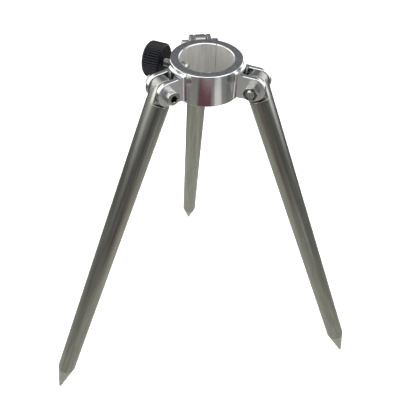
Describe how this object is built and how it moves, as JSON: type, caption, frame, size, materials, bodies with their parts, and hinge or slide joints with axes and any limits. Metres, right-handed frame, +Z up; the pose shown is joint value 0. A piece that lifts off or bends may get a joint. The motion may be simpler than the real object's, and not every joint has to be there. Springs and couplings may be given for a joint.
{
  "type": "survey pole tripod stand",
  "caption": "Small three-legged stand whose collar clamps round a survey prism pole; pointed legs swing in forked lugs and a fluted knob drives the clamp screw.",
  "frame": {"origin": "centre of the footprint box on the ground plane that the three leg points stand on", "axes": "+Z up from the ground; +Y towards the rear leg; the left and right legs spread to -X and +X; the collar's bore leans about 4 degrees from +Z towards -Y"},
  "size_m": [0.2764, 0.2076, 0.2889],
  "materials": {
    "polished_aluminium": "polished",
    "sleeve_aluminium": "satin",
    "satin_steel": "drawn along its length",
    "stainless_screw": "bright",
    "pad_metal": "bright",
    "nylon": "satin",
    "fibre_washer": "matte",
    "black_plastic": "moulded, slightly glossy"
  },
  "bodies": {
    "head": {"collar": "polished_aluminium", "pole_sleeve": "sleeve_aluminium", "hinge_bolt_rear": "stainless_screw", "lock_nut_rear": "stainless_screw", "nut_ring_rear": "nylon", "hinge_bolt_left": "stainless_screw", "lock_nut_left": "stainless_screw", "nut_ring_left": "nylon", "hinge_bolt_right": "stainless_screw", "lock_nut_right": "stainless_screw", "nut_ring_right": "nylon", "friction_washer_rear_a": "fibre_washer", "friction_washer_rear_b": "fibre_washer", "friction_washer_left_a": "fibre_washer", "friction_washer_left_b": "fibre_washer", "friction_washer_right_a": "fibre_washer", "friction_washer_right_b": "fibre_washer"},
    "rear_leg": {"leg_rear": "satin_steel"},
    "left_leg": {"leg_left": "satin_steel"},
    "right_leg": {"leg_right": "satin_steel"},
    "clamp_foot": {"clamp_pad": "pad_metal"},
    "clamp_screw": {"clamp_stud": "stainless_screw", "clamp_knob": "black_plastic"}
  },
  "joints": [
    {"name": "rear_leg_hinge", "type": "hinge", "parent": "head", "child": "rear_leg", "pos_m": [0.00002, -0.00693, 0.27912], "axis": [0.9999, -0.0005, 0.0148], "range_deg": [-17.5, 162.5]},
    {"name": "left_leg_hinge", "type": "hinge", "parent": "head", "child": "left_leg", "pos_m": [-0.02766, -0.05479, 0.27533], "axis": [-0.5004, 0.8641, 0.0534], "range_deg": [-26, 154]},
    {"name": "right_leg_hinge", "type": "hinge", "parent": "head", "child": "right_leg", "pos_m": [0.02775, -0.05482, 0.27615], "axis": [-0.4995, -0.8636, -0.0682], "range_deg": [-24, 156]},
    {"name": "clamp_travel", "type": "slide", "parent": "head", "child": "clamp_foot", "axis": [0.8662, -0.4992, -0.0223], "range_m": [-0.0045, 0.0055]},
    {"name": "knob_turn", "type": "hinge", "parent": "clamp_foot", "child": "clamp_screw", "pos_m": [-0.02422, -0.02487, 0.27749], "axis": [0.8662, -0.4992, -0.0223], "range_deg": [-2025, 2475]}
  ],
  "couplings": [
    {"joint": "clamp_travel", "follows": "knob_turn", "m_per_rad": 0.00012732}
  ]
}
